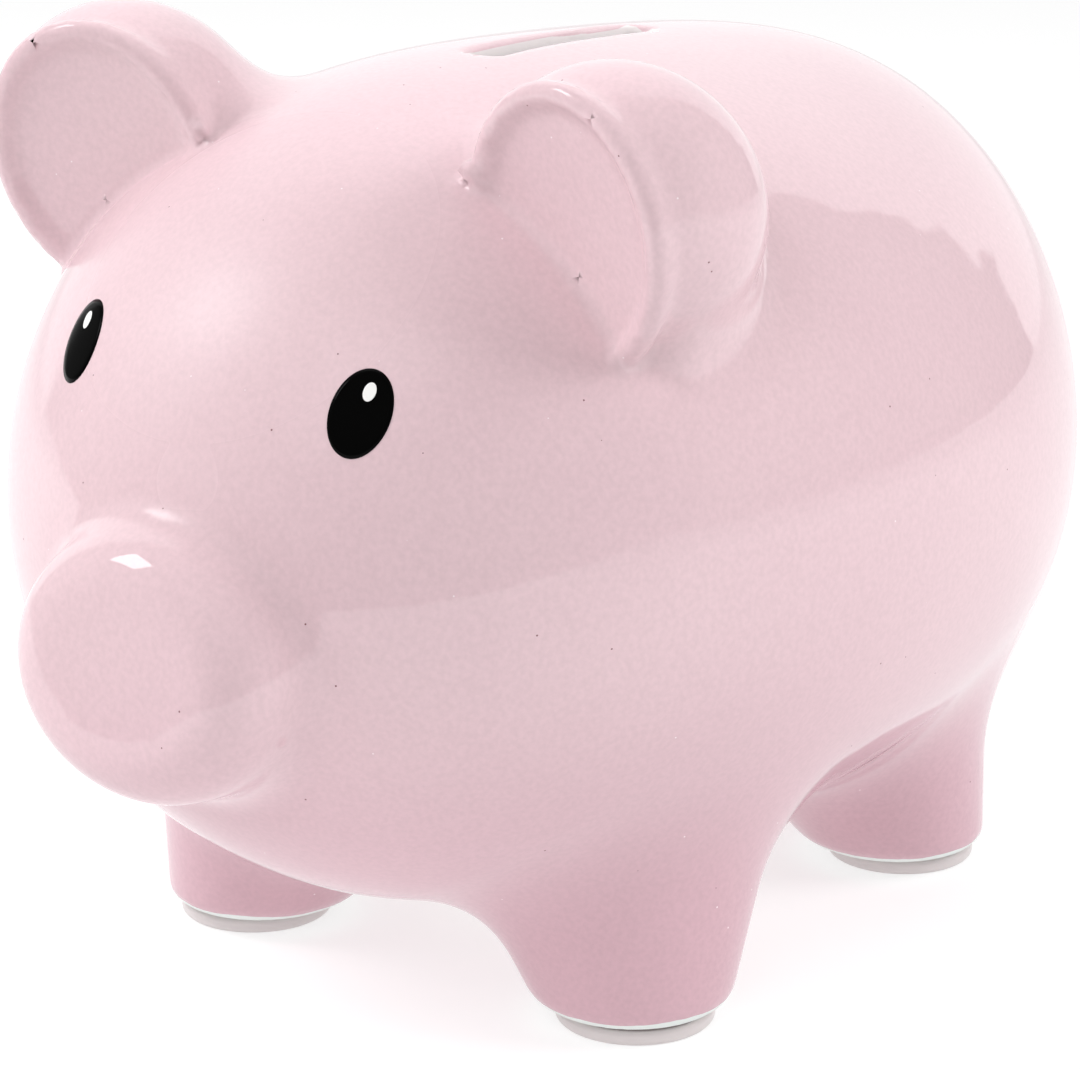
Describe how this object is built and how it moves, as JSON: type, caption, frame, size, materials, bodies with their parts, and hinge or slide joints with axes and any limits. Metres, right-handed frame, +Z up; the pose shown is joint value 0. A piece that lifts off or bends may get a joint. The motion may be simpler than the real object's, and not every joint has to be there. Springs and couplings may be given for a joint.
{
  "type": "figural animal coin bank",
  "caption": "Hollow pig-shaped coin bank in pale pink glazed ceramic, with a coin slot along the back, a pull-out belly stopper and clear cushioned feet.",
  "frame": {"origin": "on the floor, under the middle of the whole object's box", "axes": "+Z up, -Y towards the snout, +X towards the pig's left side; +Y is the longest extent"},
  "size_m": [0.1216, 0.1736, 0.1225],
  "materials": {
    "pink_glaze": "pale pink clear-coated glaze, glossy, with a fine speckle",
    "black_decal": "black fired-on decal with a white spot, under the glaze's gloss",
    "stopper_vinyl": "soft white vinyl, satin",
    "clear_pad": "clear soft polyurethane, slightly hazy",
    "pad_film": "thin pressure-sensitive adhesive"
  },
  "bodies": {
    "bank": {"body_shell": "pink_glaze", "ear_left": "pink_glaze", "ear_right": "pink_glaze", "tail": "pink_glaze", "eye_left": "black_decal", "eye_right": "black_decal", "foot_pad_front_left": "clear_pad", "foot_pad_front_right": "clear_pad", "foot_pad_rear_left": "clear_pad", "foot_pad_rear_right": "clear_pad", "pad_adhesive_front_left": "pad_film", "pad_adhesive_front_right": "pad_film", "pad_adhesive_rear_left": "pad_film", "pad_adhesive_rear_right": "pad_film"},
    "stopper": {"stopper_plug": "stopper_vinyl"}
  },
  "joints": [
    {"name": "stopper_pull", "type": "slide", "parent": "bank", "child": "stopper", "axis": [0, 0, -1], "range_m": [0, 0.03]}
  ]
}
